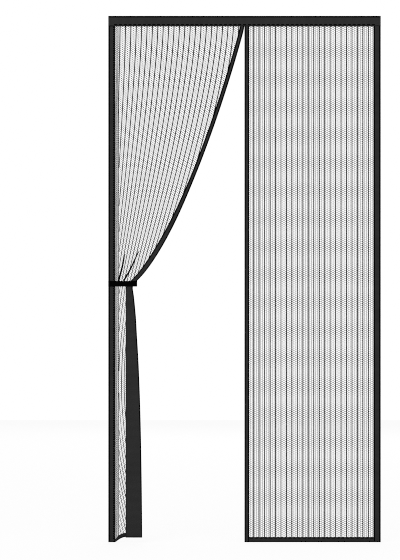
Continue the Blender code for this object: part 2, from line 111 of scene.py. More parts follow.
for name, power, size, place in (("keyLight", studio["keyPower"], 4.0, (-3.2, -5.0, 2.2)),
                                 ("fillLight", studio["fillPower"], 5.0, (3.6, -4.0, 0.8)),
                                 ("rearLight", studio["fillPower"], 5.0, (0.5, 5.0, 1.2))):
    bpy.ops.object.light_add(type="AREA", location=place)
    light = bpy.context.object
    light.name = name
    light.data.energy = power
    light.data.size = size
    aim = Vector((0.0, 0.0, -1.0)) - Vector(place)
    light.rotation_euler = aim.to_track_quat("-Z", "Y").to_euler()

bpy.ops.mesh.primitive_plane_add(size=studio["floorSize"],
                                 location=(0, 0, cadBox[0].z - studio["floorGap"]))
floor = bpy.context.object
floor.name = "studioFloor"
floorPaint = bpy.data.materials.new("paleFloorPaint")
floorPaint.use_nodes = True
floorTree = floorPaint.node_tree
floorTree.nodes.clear()
floorRays = addNode(floorTree, "ShaderNodeLightPath")
floorPart = addNode(floorTree, "ShaderNodeMath", {"operation": "MULTIPLY", 1: studio["floorGlow"]},
                    {0: floorRays.outputs["Is Camera Ray"]})
floorMatt = addNode(floorTree, "ShaderNodeBsdfDiffuse", {"Color": linearColour(studio["floorColour"])})
floorGlow = addNode(floorTree, "ShaderNodeEmission", {"Color": linearColour("#ffffff"), "Strength": 1.0})
floorMix = addNode(floorTree, "ShaderNodeMixShader", None,
                   {0: floorPart.outputs[0], 1: floorMatt.outputs[0], 2: floorGlow.outputs[0]})
addNode(floorTree, "ShaderNodeOutputMaterial", None, {"Surface": floorMix.outputs[0]})
floor.data.materials.append(floorPaint)
print("studio built")


def newMaterial(name, settings):  # a Principled material with even values on its own sockets
    material = bpy.data.materials.new(name)
    material.use_nodes = True
    shader = material.node_tree.nodes["Principled BSDF"]
    for key, value in settings.items():
        shader.inputs[key].default_value = value
    return material, material.node_tree, shader


def dressShader(tree, shader, tone, dark, light, height, strength, depth, invert=False):
    # two colours mixed by tone, and a bump whose depth is in metres
    colour = addNode(tree, "ShaderNodeMix", {"data_type": "RGBA"}, {0: tone})
    colour.inputs[6].default_value = linearColour(dark)
    colour.inputs[7].default_value = linearColour(light)
    tree.links.new(colour.outputs[2], shader.inputs["Base Color"])
    bump = addNode(tree, "ShaderNodeBump", {"Strength": strength, "Distance": depth, "invert": invert},
                   {"Height": height})
    tree.links.new(bump.outputs[0], shader.inputs["Normal"])


waveUnit = 0.314  # bands of a wave texture are this far apart at a scale of 1
# edge and edgeLight are painted edge shade: the near-black outline at the tapes' folds, leaf ends and feet
tapeLook = {"face": "#202020", "faceLight": "#2c2c2c", "edge": "#010101", "edgeLight": "#070707",
            "ribPitch": 0.0045, "ribBump": 0.0004, "fibreScale": 420.0}


def wovenTape(name, dark, light, gloss):
    # polyester grosgrain, woven: matt dark grey with faint cross ribs. The real ribs are
    # 1 mm apart, and are drawn 4.5 mm apart so that they show at the photograph's size
    material, tree, shader = newMaterial(name, {"Roughness": 0.9, "Specular IOR Level": gloss})
    place = addNode(tree, "ShaderNodeTexCoord")
    rib = addNode(tree, "ShaderNodeTexWave", {"wave_type": "BANDS", "bands_direction": "Y",
                                              "Scale": waveUnit / tapeLook["ribPitch"], "Distortion": 0.6,
                                              "Detail": 1.0, "Detail Scale": 2.0},
                  {"Vector": place.outputs["UV"]})
    fibre = addNode(tree, "ShaderNodeTexNoise", {"Scale": tapeLook["fibreScale"], "Detail": 3.0},
                    {"Vector": place.outputs["Object"]})
    cloud = addNode(tree, "ShaderNodeTexNoise", {"Scale": 9.0, "Detail": 2.0},
                    {"Vector": place.outputs["Object"]})
    blend = addNode(tree, "ShaderNodeMath", {"operation": "MULTIPLY_ADD", 1: 0.5},
                    {0: rib.outputs["Fac"], 2: cloud.outputs["Fac"]})
    tint = addNode(tree, "ShaderNodeMath", {"operation": "MULTIPLY_ADD", 1: 0.35, 2: -0.2},
                   {0: fibre.outputs["Fac"]})
    mixAt = addNode(tree, "ShaderNodeMath", {"operation": "ADD", "use_clamp": True},
                    {0: blend.outputs[0], 1: tint.outputs[0]})
    dressShader(tree, shader, mixAt.outputs[0], dark, light, blend.outputs[0], 0.5, tapeLook["ribBump"])
    return material


def spunYarn(name, dark, light, scale, gloss):
    # polyester yarn, knitted: near black and matt, with a slight change of tone along it
    material, tree, shader = newMaterial(name, {"Roughness": 0.85, "Specular IOR Level": gloss})
    place = addNode(tree, "ShaderNodeTexCoord")
    twist = addNode(tree, "ShaderNodeTexNoise", {"Scale": scale, "Detail": 2.0},
                    {"Vector": place.outputs["Object"]})
    dressShader(tree, shader, twist.outputs["Fac"], dark, light, twist.outputs["Fac"], 0.4, 0.0002)
    return material


def strapWebbing(ribPitch):
    # soft black webbing, woven: deep black, with ribs along the strap
    material, tree, shader = newMaterial("strapWebbing", {"Roughness": 0.95, "Specular IOR Level": 0.01})
    place = addNode(tree, "ShaderNodeTexCoord")
    rib = addNode(tree, "ShaderNodeTexWave", {"wave_type": "BANDS", "bands_direction": "Z",
                                              "Scale": waveUnit / ribPitch, "Distortion": 0.8,
                                              "Detail": 1.0},
                  {"Vector": place.outputs["Object"]})
    fluff = addNode(tree, "ShaderNodeTexNoise", {"Scale": 600.0, "Detail": 3.0},
                    {"Vector": place.outputs["Object"]})
    height = addNode(tree, "ShaderNodeMath", {"operation": "ADD"},
                     {0: rib.outputs["Fac"], 1: fluff.outputs["Fac"]})
    dressShader(tree, shader, fluff.outputs["Fac"], "#000000", "#060606", height.outputs[0], 0.6, 0.0003)
    return material


def hookNylon(hookPitch):
    # nylon hook tape, moulded: rows of stiff hooks, seen as fine dots
    material, tree, shader = newMaterial("hookNylon", {"Roughness": 0.5, "Specular IOR Level": 0.3})
    place = addNode(tree, "ShaderNodeTexCoord")
    hooks = addNode(tree, "ShaderNodeTexVoronoi", {"Scale": 1 / hookPitch, "Randomness": 0.15},
                    {"Vector": place.outputs["Object"]})
    dots = hooks.outputs["Distance"]
    dressShader(tree, shader, dots, "#262626", "#121212", dots, 0.8, 0.0004, invert=True)
    return material


def loopPile():
    # nylon loop tape, brushed: a soft matt pile with a little sheen
    material, tree, shader = newMaterial("loopPile", {"Roughness": 0.95, "Specular IOR Level": 0.1,
                                                      "Sheen Weight": 0.12, "Sheen Roughness": 0.6})
    place = addNode(tree, "ShaderNodeTexCoord")
    pile = addNode(tree, "ShaderNodeTexNoise", {"Scale": 900.0, "Detail": 4.0, "Distortion": 1.2},
                   {"Vector": place.outputs["Object"]})
    dressShader(tree, shader, pile.outputs["Fac"], "#141414", "#2a2a2a", pile.outputs["Fac"], 0.9, 0.0005)
    return material


def nickelPlate():
    # nickel plating over sintered magnets: bright, slightly mottled metal
    material, tree, shader = newMaterial("nickelPlate", {"Metallic": 1.0})
    place = addNode(tree, "ShaderNodeTexCoord")
    haze = addNode(tree, "ShaderNodeTexNoise", {"Scale": 220.0, "Detail": 3.0},
                   {"Vector": place.outputs["Object"]})
    rough = addNode(tree, "ShaderNodeMapRange", {"To Min": 0.22, "To Max": 0.4},
                    {"Value": haze.outputs["Fac"]})
    tree.links.new(rough.outputs[0], shader.inputs["Roughness"])
    shader.inputs["Base Color"].default_value = linearColour("#c2bfb8")
    return material


tapeFace = wovenTape("grosgrainFace", tapeLook["face"], tapeLook["faceLight"], 0.08)
# the material of the edge bands: near-black painted shade at the folds, leaf ends and feet of the tapes
tapeEdgeShade = wovenTape("paintedEdgeShade", tapeLook["edge"], tapeLook["edgeLight"], 0.0)
netYarn = spunYarn("netYarn", "#060606", "#121212", 260.0, 0.06)
sewingThread = spunYarn("sewingThread", "#010101", "#060606", 900.0, 0.03)
webbing = strapWebbing(ribPitch=0.0018)
hookLook = hookNylon(hookPitch=0.0015)
loopLook = loopPile()
nickel = nickelPlate()

for nodeName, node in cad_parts.items():
    look = None
    if "magnet_0" in nodeName or "magnet_1" in nodeName:
        look = nickel
    elif "hook" in nodeName:
        look = hookLook
    elif "loop" in nodeName:
        look = loopLook
    if look:
        node.data.materials.clear()
        node.data.materials.append(look)
print("materials made")


# the screen's shape, as the frame has it
headerLow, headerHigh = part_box("header_tape")
leftLow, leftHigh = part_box("left_border_tape")
rightLow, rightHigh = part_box("right_border_tape")
centreLow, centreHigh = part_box("right_magnet_binding")
hemLow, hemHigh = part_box("right_hem")
strapLow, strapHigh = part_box("tieback_strap")
tailLow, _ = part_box("left_magnet_binding")
leftHemLow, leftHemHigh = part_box("left_hem")

tapeThickness = 0.0006
clearance = 0.0003                                # between a cloth and the next
tapeMiddle = (headerLow.y + headerHigh.y) / 2     # middle of the folded tapes, front to back
netPlane = -0.0042                                # middle of the flat net
netFront = -0.0045
halfTape = (headerHigh.y - headerLow.y) / 2
halfChannel = (centreHigh.y - centreLow.y) / 2    # half depth over the magnets
strapTop = strapHigh.z
strapFoot = strapLow.z
tapeTop = leftHigh.z

# the tied edge above the strap. Each pair says where on the way down something starts and ends:
# as shares of the way in fan, in metres below the strap in tail
fan = {"start": -0.0003, "endInset": 0.0015, "steps": 300, "topSlope": 0.183, "topHandle": 0.050,
       "strapSlope": 0.976, "strapHandle": 0.218, "topWidth": 0.0182, "strapWidth": 0.0255,
       "widens": (0.56, 0.93), "topDepth": 0.0008, "strapDepth": 0.015, "shift": 0.0008,
       "shifts": (0.0, 0.02), "bow": 0.0018, "bows": (0.6, 0.8), "straightens": (0.965, 1.0), "lost": 0.9}
tail = {"left": -0.475, "width": 0.0270, "spread": 0.0408, "spreadLength": 0.345, "footDepth": 0.010,
        "bow": 0.0014, "bows": (0.0, 0.05), "straightens": (0.12, 0.2), "leafEdge": 0.0024,
        "foldEdge": 0.0047, "footEdge": 0.0042, "footLift": 0.0012}
lean = {"atStrap": 0.287, "across": 0.62, "down": 1.44}
hemCurve = {"flat": 0.0032, "run": 0.0380, "rise": 0.0194, "ease": 1.7, "height": 0.0166,
            "startHeight": 0.0110, "grows": (0.0, 0.016), "foldEdge": 0.0044, "leafEdge": 0.0024,
            "flatter": 0.65, "thickness": 0.0005}


def fanCurve():  # the tied edge, a Bezier curve from the header to the strap
    start = Vector((fan["start"], tapeTop))
    end = Vector((strapHigh.x - fan["endInset"], strapTop))
    first = start - Vector((fan["topSlope"], 1.0)) * fan["topHandle"]
    last = end + Vector((fan["strapSlope"], 1.0)) * fan["strapHandle"]
    points = []
    for i in range(fan["steps"] + 1):
        t = i / fan["steps"]
        s = 1 - t
        points.append(start * s ** 3 + first * 3 * s * s * t + last * 3 * s * t * t + end * t ** 3)
    return points


fanPoints = fanCurve()


def clamp(value):
    return min(max(value, 0.0), 1.0)


def ease(value, start, end):  # 0 before start, 1 after end, and soft between
    share = clamp((value - start) / (end - start))
    return share * share * (3 - 2 * share)


def fanShare(z):  # 0 under the header, 1 at the strap
    return clamp((tapeTop - z) / (tapeTop - strapTop))


def leadRight(z):  # the leading tape's right edge
    if z >= strapTop:
        down = fanShare(z)
        kept = 1 - fan["lost"] * ease(down, *fan["straightens"])
        bow = fan["shift"] + fan["bow"] * ease(down, *fan["bows"]) * kept
        for upper, lower in zip(fanPoints, fanPoints[1:]):
            if z >= lower.y:
                share = clamp((z - upper.y) / (lower.y - upper.y))
                return upper.x + (lower.x - upper.x) * share + bow * ease(down, *fan["shifts"])
        return fanPoints[-1].x + bow
    if z > strapFoot:
        share = (z - strapFoot) / (strapTop - strapFoot)
        return leadRight(strapFoot) + (leadRight(strapTop) - leadRight(strapFoot)) * share
    down = strapFoot - z
    return (tail["left"] + tail["width"] + tail["spread"] * (1 - math.exp(-down / tail["spreadLength"]))
            + tail["bow"] * ease(down, *tail["bows"]) * (1 - ease(down, *tail["straightens"])))


def leadWidth(z):
    if z <= strapFoot:
        return leadRight(z) - tail["left"]
    if z < strapTop:
        share = (z - strapFoot) / (strapTop - strapFoot)
        return tail["width"] + (fan["strapWidth"] - tail["width"]) * share
    return fan["topWidth"] + (fan["strapWidth"] - fan["topWidth"]) * ease(fanShare(z), *fan["widens"])


def leadLeft(z):
    return leadRight(z) - leadWidth(z)


def stackFront(z):  # front of the surplus net behind the binding
    if z > strapTop:
        return netFront - fan["topDepth"] - (fan["strapDepth"] - fan["topDepth"]) * fanShare(z)
    share = clamp((strapFoot - z) / (strapFoot - tailLow.z))
    return netFront - fan["strapDepth"] + (fan["strapDepth"] - tail["footDepth"]) * share


def leadMiddle(z):  # the leading tape's middle, front to back
    return stackFront(z) - clearance - halfChannel


def hemFoot(x):  # the left hem's lower edge rises from the border's foot to the tail's
    share = clamp((x - leftHigh.x - hemCurve["flat"]) / hemCurve["run"])
    return leftHemLow.z + hemCurve["rise"] * (1 - (1 - share) ** hemCurve["ease"])


def hemHeight(x):
    growth = hemCurve["height"] - hemCurve["startHeight"]
    return hemCurve["startHeight"] + growth * ease(x - leftHigh.x, *hemCurve["grows"])


def leanTo(start, z):  # where a stripe of the left net, a width from the border, lies at a height
    shift = lean["atStrap"] * (max(start, 0.0) / -leftHigh.x) ** lean["across"] * fanShare(z) ** lean["down"]
    return leftHigh.x + start - shift


# The net has heavy stripes 22 mm apart and a mesh of about 2 mm. The mesh is drawn coarser, with
# rows 4.2 mm and thin wales 7 to 8 mm apart, so that it shows at the photograph's size
knit = {"stripePitch": 0.02187, "firstStripe": 0.0186, "leftPitch": 0.0216, "leftFirst": 0.0209,
        "row": 0.0041524, "firstRow": 0.0104, "hold": 0.66, "zigzag": 0.0028, "waleWidth": 0.00188,
        "yarnDepth": 0.0006, "stripeDepth": 1.6, "linkWidth": 0.0010, "linkDepth": 0.8,
        "shortestLink": 0.0012, "stripeNarrow": 0.0030, "stripeWide": 0.0047, "closest": 0.30,
        "stripeThins": 0.64, "waleThins": 1.08, "underTape": 0.010, "underBorder": 0.004,
        "aboveHem": 0.006}
flatKnit = dict(knit, walePitch=0.0081607, wales=64, firstWale=0.015134, zigzag=0.0007, waleWidth=0.00140,
                linkWidth=0.00125, stripeNarrow=0.0034, stripeWide=0.0034)
strip = {"width": 0.0155, "wales": 6, "first": 0.1, "overlap": 0.0016, "gap": 0.0008, "closest": 0.55,
         "thickness": 0.97, "uneven": 0.55}
loose = {"pitch": 0.0035, "squeeze": 0.48, "leanIn": 0.15, "leanOut": 0.38, "turn": 0.9,
         "waver": 0.0016, "uneven": 0.6, "first": -16, "last": 32}


def addYarn(points, yarn, across, depth):
    # a three-sided strand through the points, flat at the back, as wide as across says
    base = len(yarn["vertices"])
    for i, (x, y, z) in enumerate(points):
        half = across[i] / 2
        yarn["vertices"] += [(x - half, y + depth / 2, z), (x + half, y + depth / 2, z),
                             (x, y - depth / 2, z)]
    for i in range(len(points) - 1):
        a, b = base + 3 * i, base + 3 * i + 3
        for j in range(3):
            k = (j + 1) % 3
            yarn["faces"].append((a + j, a + k, b + k, b + j))
    last = base + 3 * (len(points) - 1)
    yarn["faces"] += [(base + 2, base + 1, base), (last, last + 1, last + 2)]


def addLink(start, end, yarn, width, depth):  # a short cross strand between two wales
    base = len(yarn["vertices"])
    for x, y, z in (start, end):
        yarn["vertices"] += [(x, y + depth / 2, z - width / 2), (x, y + depth / 2, z + width / 2),
                             (x, y - depth / 2, z)]
    yarn["faces"] += [(base, base + 3, base + 4, base + 1), (base + 1, base + 4, base + 5, base + 2),
                      (base + 2, base + 5, base + 3, base), (base, base + 1, base + 2),
                      (base + 3, base + 5, base + 4)]


def makeYarnPiece(name, yarn, material):
    mesh = bpy.data.meshes.new(name)
    mesh.from_pydata(yarn["vertices"], [], yarn["faces"])
    mesh.update()
    mesh.materials.append(material)
    piece = bpy.data.objects.new(name, mesh)
    bpy.context.scene.collection.objects.link(piece)
    return piece


def newYarn():
    return {"vertices": [], "faces": []}


def knitWale(column, heavy, yarn, gauge=knit):
    # column: row number to (x, z, side, squeeze). A thin wale stands beside one neighbour for
    # part of a row and crosses to the other, so that the holes are staggered. A heavy stripe
    # stays straight
    run = []
    for k in sorted(column) + [None]:
        if k is not None and (not run or k == run[-1] + 1):
            run.append(k)
            continue
        if len(run) > 1:
            points, widths = [], []
            for r in run:
                x, z, side, squeeze = column[r]
                half = gauge["row"] * gauge["hold"] / 2
                if heavy:
                    points.append((x, netPlane, z))
                    width = gauge["stripeWide"] if r % 2 else gauge["stripeNarrow"]
                    widths.append(width * squeeze ** gauge["stripeThins"])
                else:
                    points += [(x + side * gauge["zigzag"] * squeeze, netPlane, z + half),
                               (x + side * gauge["zigzag"] * squeeze, netPlane, z - half)]
                    widths += [gauge["waleWidth"] * squeeze ** gauge["waleThins"]] * 2
            addYarn(points, yarn, widths, gauge["yarnDepth"] * (gauge["stripeDepth"] if heavy else 1.0))
        run = [k] if k is not None else []


def joinWales(left, right, leftHeavy, rightHeavy, yarn, gauge=knit):
    # cross strands where two neighbouring wales stand closest
    for k in left:
        if k not in right:
            continue
        xl, z, sideLeft, squeezeLeft = left[k]
        xr, _, sideRight, squeezeRight = right[k]
        xl += 0 if leftHeavy else sideLeft * gauge["zigzag"] * squeezeLeft
        xr += 0 if rightHeavy else sideRight * gauge["zigzag"] * squeezeRight
        closing = (leftHeavy or sideLeft > 0) and (rightHeavy or sideRight < 0)
        if closing and xr - xl > gauge["shortestLink"]:
            addLink((xl, netPlane, z), (xr, netPlane, z), yarn, gauge["linkWidth"],
                    gauge["yarnDepth"] * gauge["linkDepth"])


def flatNet():
    # right panel: thin wales joined by cross strands in a brick pattern, with the heavy stripes
    # laid in at their own pitch
    first, second, stripes = newYarn(), newYarn(), newYarn()
    top = headerLow.z + knit["firstRow"]
    rows = int((top - (hemHigh.z - knit["underTape"])) / knit["row"])
    heights = [top - k * knit["row"] for k in range(rows + 1)]
    columns = []
    for wale in range(flatKnit["wales"]):
        x = flatKnit["firstWale"] + wale * flatKnit["walePitch"]
        if x > rightLow.x + knit["underBorder"]:
            break
        columns.append({k: (x, z, 1 if (k + wale) % 2 else -1, 1.0) for k, z in enumerate(heights)})
        knitWale(columns[-1], False, second if wale % 2 else first, flatKnit)
    for left, right in zip(columns, columns[1:]):
        joinWales(left, right, False, False, stripes, flatKnit)
    x = centreHigh.x + flatKnit["firstStripe"]
    while x < rightLow.x + knit["underBorder"]:
        knitWale({k: (x, z, 1, 1.0) for k, z in enumerate(heights)}, True, stripes, flatKnit)
        x += flatKnit["stripePitch"]
    return (makeYarnPiece("rightNet", first, netYarn), makeYarnPiece("rightNetSecondWales", second, netYarn),
            makeYarnPiece("rightNetStripes", stripes, netYarn))


rightNet, rightNetSecond, rightNetStripes = flatNet()
print("right net knitted")


def looseDrift(z):  # below the strap the wales lean in at first, and then out to the foot
    down = strapFoot - z
    turned = min(down / loose["turn"], 1.0)
    drift = -loose["leanIn"] * down + loose["leanOut"] * loose["turn"] * (turned ** 3 - turned ** 4 / 2)
    return drift + loose["leanOut"] * max(down - loose["turn"], 0.0)


def tiedNet():
    # left panel: the same net, with wales that lean towards the border and end in the doubled
    # strip beside it or behind the tied edge. Below the strap it hangs loose and wavers
    wales, gathered = newYarn(), newYarn()
    top = headerLow.z + knit["firstRow"]
    rows = int((top - leftLow.z - knit["aboveHem"]) / knit["row"])
    heights = [top - k * knit["row"] for k in range(rows + 1)]
    stripEdge = leftHigh.x + strip["width"]
    third = knit["leftPitch"] / 3
    beside = 0.004  # distance at which another yarn's place is asked for, to see how close they lie
    count = int((-leftHigh.x - fan["topWidth"]) / third)
    columns = []
    for wale in range(count):
        start = knit["leftFirst"] + wale * third
        heavy = wale % 3 == 0
        column = {}
        for k, z in enumerate(heights):
            if z < strapFoot and wale:
                break
            x = leanTo(start, z)
            squeeze = min(max((leanTo(start + beside, z) - x) / beside, knit["closest"]), 1.0)
            if wale == 0:
                x = max(x, stripEdge - strip["overlap"])
                squeeze = max(squeeze, strip["closest"])
                if z < hemFoot(x) + knit["aboveHem"]:
                    break
            elif x < stripEdge + strip["gap"]:
                continue
            if x > leadLeft(z) + knit["underTape"]:
                continue
            column[k] = (x, z, -1 if (k + wale % 3) % 2 else 1, squeeze)
        knitWale(column, heavy, gathered if heavy else wales)
        columns.append((heavy, column))
    edge = columns[0][1]
    for wale in range(strip["wales"]):
        share = (wale + strip["first"]) / strip["wales"]
        column = {}
        for k, z in enumerate(heights):
            right = edge[k][0] if k in edge else stripEdge - strip["overlap"]
            x = leftHigh.x + (right - leftHigh.x) * share
            if z > hemFoot(x) + knit["aboveHem"]:
                uneven = strip["uneven"] * noise.noise(Vector((wale * 1.7, z * 5.0, 9.0)))
                column[k] = (x, z, -1 if (k + wale) % 2 else 1, strip["thickness"] + uneven)
        knitWale(column, False, gathered)
    hanging = []
    for wale in range(loose["first"], loose["last"]):
        heavy = wale % 3 == 0
        column = {}
        for k, z in enumerate(heights):
            if z > strapTop:
                continue
            waver = noise.noise(Vector((wale * 0.45, z * 6.0, 3.0)))
            x = leftHigh.x + wale * loose["pitch"] + looseDrift(z) + waver * loose["waver"]
            inside = stripEdge + strip["gap"] < x < leadLeft(z) + knit["underTape"]
            if inside and z > hemFoot(x) + knit["aboveHem"]:
                uneven = loose["uneven"] * noise.noise(Vector((wale * 0.6, z * 4.0, 7.0)))
                squeeze = loose["squeeze"] * (1 + uneven)
                column[k] = (x, z, -1 if (k + wale % 3) % 2 else 1, squeeze)
        knitWale(column, heavy, gathered if heavy else wales)
        hanging.append((heavy, column))
    for group in (columns, hanging):
        for (leftHeavy, left), (rightHeavy, right) in zip(group, group[1:]):
            joinWales(left, right, leftHeavy, rightHeavy, gathered)
    return makeYarnPiece("leftNet", wales, netYarn), gathered


leftNet, gatheredYarn = tiedNet()
print("left net knitted")


folds = {"layers": 6, "row": 0.0162, "waleStep": 0.0216 / 3, "inset": 0.0030, "waleWidth": 0.0017,
         "stripeWidth": 0.0034, "margin": 0.012, "behind": 0.002, "gap": 0.0006, "waver": 0.0012}


def foldedSurplus(yarn):
    # the cloth that the strap pulls in lies in pleats behind the tied edge
    top = tapeTop - folds["margin"]
    foot = tailLow.z + folds["margin"]
    rows = int((top - foot) / folds["row"])
    total = -leftHigh.x - fan["topWidth"]
    wales = int(total / folds["waleStep"])
    placed = [dict() for _ in range(wales)]
    for k in range(rows + 1):
        z = top - k * folds["row"]
        low, high = 0.0, total
        for _ in range(18):  # the width from the border at which the cloth goes behind the edge
            middle = (low + high) / 2
            if leanTo(middle, z) < leadLeft(z):
                low = middle
            else:
                high = middle
        spare = total - low
        left = leadLeft(z) + folds["inset"]
        right = leadRight(z) - folds["inset"]
        front = stackFront(z) + folds["gap"]
        for wale in range(wales):
            start = wale * folds["waleStep"]
            if start <= low + folds["behind"]:
                continue
            along = (start - low) / max(spare, 0.001) * folds["layers"]
            layer = min(int(along), folds["layers"] - 1)
            share = along - layer
            x = left + (right - left) * (share if layer % 2 == 0 else 1 - share)
            y = netFront - folds["gap"] + (front - netFront + folds["gap"]) * (along / folds["layers"])
            wave = noise.noise(Vector((wale * 0.37, z * 3.0, 2.0))) * folds["waver"]
            placed[wale][k] = (x + wave, y, z)
    for wale, column in enumerate(placed):
        run = []
        for k in range(rows + 2):
            if k in column:
                run.append(k)
            elif run:
                if len(run) > 1:
                    width = folds["stripeWidth"] if wale % 3 == 2 else folds["waleWidth"]
                    addYarn([column[r] for r in run], yarn, [width] * len(run), knit["yarnDepth"])
                run = []
    for left, right in zip(placed, placed[1:]):
        for k in left:
            if k in right:
                addLink(left[k], right[k], yarn, knit["linkWidth"], knit["yarnDepth"] * knit["linkDepth"])
    return makeYarnPiece("leftNetStripes", yarn, netYarn)


leftNetStripes = foldedSurplus(gatheredYarn)
print("surplus net folded")


tapeStep = 0.02                    # length of one row of a straight tape's grid
proud = 0.0006                     # how far the header's fold stands above its solid
footDrop = 0.0007                  # how far the feet hang below theirs
smoothAngle = math.radians(40)
# the channel sewn for the magnets: stations across it, and where its raised part begins
channel = {"stations": [0.0145, 0.0120, 0.0100], "nearFold": 0.0035, "outer": 0.0145, "slope": 0.0030}
ripple = {"scale": 9.0, "depth": 0.0003, "from": 0.004}


def clothFromGrid(name, columns, rows, place, measure, flip=False):
    # a flat grid moved point by point to its place, with its UV in metres along the cloth
    bpy.ops.object.select_all(action="DESELECT")
    bpy.ops.mesh.primitive_grid_add(x_subdivisions=columns - 1, y_subdivisions=rows - 1, size=1.0)
    piece = bpy.context.object
    piece.name = name
    piece.data.name = name
    mesh = piece.data
    spots = []
    for vertex in mesh.vertices:
        i = round((vertex.co.x + 0.5) * (columns - 1))
        j = round((vertex.co.y + 0.5) * (rows - 1))
        spots.append((i, j))
        vertex.co = place(i, j)
    for loop in mesh.loops:
        mesh.uv_layers.active.data[loop.index].uv = measure(*spots[loop.vertex_index])
    if flip:
        bpy.ops.object.mode_set(mode="EDIT")
        bpy.ops.mesh.select_all(action="SELECT")
        bpy.ops.mesh.flip_normals()
        bpy.ops.object.mode_set(mode="OBJECT")
    return piece, spots


def finishCloth(piece, spots, edgeColumns, thickness=tapeThickness, edgeRows=()):
    # black edge columns and rows, which are painted edge shade at the folds, leaf ends and feet, then the
    # cloth's thickness to the inside
    mesh = piece.data
    mesh.materials.append(tapeFace)
    mesh.materials.append(tapeEdgeShade)
    for face in mesh.polygons:
        column = min(spots[v][0] for v in face.vertices)
        row = min(spots[v][1] for v in face.vertices)
        face.material_index = 1 if column in edgeColumns or row in edgeRows else 0
    thick = piece.modifiers.new("cloth thickness", "SOLIDIFY")
    thick.thickness = thickness
    thick.offset = -1.0
    bpy.context.view_layer.objects.active = piece
    bpy.ops.object.modifier_apply(modifier=thick.name)
    bpy.ops.object.select_all(action="DESELECT")
    piece.select_set(True)
    bpy.ops.object.shade_smooth_by_angle(angle=smoothAngle)
    return piece


def depthAt(u, bulge):  # half depth of the tape, which is thicker over the magnets
    if not bulge:
        return halfTape
    return halfTape + (halfChannel - halfTape) * ease(channel["outer"] - u, 0.0, channel["slope"])


def wrapFold(steps, bulge):  # the front leaf at these distances from the fold, the fold, the back leaf
    radius = halfChannel if bulge else halfTape
    angles = [math.radians(-90 - 30 * i) for i in range(7)]
    fold = [(radius + radius * math.cos(angle), radius * math.sin(angle)) for angle in angles]
    return ([(u, -depthAt(u, bulge)) for u in steps] + fold
            + [(u, depthAt(u, bulge)) for u in reversed(steps)])


def foldSection(width, foldEdge, leafEdge, bulge):
    # stations across a folded tape, front leaf to back: (distance from the fold, depth)
    steps = [width, width - leafEdge * 0.5, width - leafEdge]
    if bulge:
        steps += channel["stations"] + [foldEdge, channel["nearFold"]]
    else:
        steps += [width * 0.55, foldEdge, foldEdge * 0.5]
    return wrapFold(sorted({round(s, 6) for s in steps if s > halfTape}, reverse=True), bulge)


# the black columns are painted edge shade at the folds and leaf ends
def edgeSet(section, width, foldEdge, leafEdge):  # the columns that are black, at fold and leaf ends
    chosen = set()
    for i in range(len(section) - 1):
        middle = (section[i][0] + section[i + 1][0]) / 2
        if middle < foldEdge or middle > width - leafEdge:
            chosen.add(i)
    return chosen


def straightTape(name, settings):
    # a straight folded tape: across is the way from the fold to the leaf ends
    section = foldSection(settings["width"], settings["foldEdge"], settings["leafEdge"], settings["bulge"])
    start, end = settings["start"], settings["end"]
    across = settings["across"]
    length = (end - start).length
    footEdge = settings.get("footEdge", 0.0)
    count = int(length / tapeStep) + 1
    stations = [length * k / count for k in range(count + 1)]
    if footEdge:
        stations.insert(1, footEdge)
    rows = len(stations)

    def place(i, j):
        u, v = section[i]
        at = start.lerp(end, stations[j] / length)
        wave = noise.noise(Vector((at.x * ripple["scale"], at.z * ripple["scale"], settings["seed"])))
        wave *= ripple["depth"] if u > ripple["from"] else 0.0
        return at + across * u + Vector((0.0, v + wave, 0.0))

    def measure(i, j):
        return (section[i][0], stations[j])

    piece, spots = clothFromGrid(name, len(section), rows, place, measure, settings["flip"])
    edges = edgeSet(section, settings["width"], settings["foldEdge"], settings["leafEdge"])
    return finishCloth(piece, spots, edges, edgeRows=(0,) if footEdge else ())


tapes = {
    "headerTape": {"width": 0.0420, "foldEdge": 0.0064, "leafEdge": 0.0034, "bulge": False, "seed": 1.0,
                   "start": Vector((headerLow.x, tapeMiddle, headerHigh.z + proud)),
                   "end": Vector((headerHigh.x, tapeMiddle, headerHigh.z + proud)),
                   "across": Vector((0, 0, -1)), "flip": True, "node": "header_tape"},
    "leftBorderTape": {"width": 0.0272, "foldEdge": 0.0064, "leafEdge": 0.0030, "bulge": False,
                       "seed": 2.0, "footEdge": 0.0034,
                       "start": Vector((leftLow.x, tapeMiddle, leftLow.z - footDrop)),
                       "end": Vector((leftLow.x, tapeMiddle, leftHigh.z)),
                       "across": Vector((1, 0, 0)), "flip": True, "node": "left_border_tape"},
    "rightBorderTape": {"width": 0.0272, "foldEdge": 0.0062, "leafEdge": 0.0045, "bulge": False,
                        "seed": 3.0, "footEdge": 0.0034,
                        "start": Vector((rightHigh.x, tapeMiddle, rightLow.z - footDrop)),
                        "end": Vector((rightHigh.x, tapeMiddle, rightHigh.z)),
                        "across": Vector((-1, 0, 0)), "flip": False, "node": "right_border_tape"},
    "rightMagnetBinding": {"width": 0.0189, "foldEdge": 0.0048, "leafEdge": 0.0044, "bulge": True,
                           "seed": 4.0, "footEdge": 0.0034,
                           "start": Vector((centreLow.x, tapeMiddle, centreLow.z - footDrop)),
                           "end": Vector((centreLow.x, tapeMiddle, centreHigh.z)),
                           "across": Vector((1, 0, 0)), "flip": True, "node": "right_magnet_binding"},
    "rightHem": {"width": 0.0200, "foldEdge": 0.0046, "leafEdge": 0.0, "bulge": False, "seed": 5.0,
                 "start": Vector((hemLow.x, tapeMiddle, hemLow.z - footDrop)),
                 "end": Vector((hemHigh.x, tapeMiddle, hemLow.z - footDrop)),
                 "across": Vector((0, 0, 1)), "flip": False, "node": "right_hem"},
}

tapePieces = {}
for name, settings in tapes.items():
    tapePieces[name] = straightTape(name, settings)
    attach(tapePieces[name], "root")
    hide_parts(settings["node"])
print("straight tapes sewn")


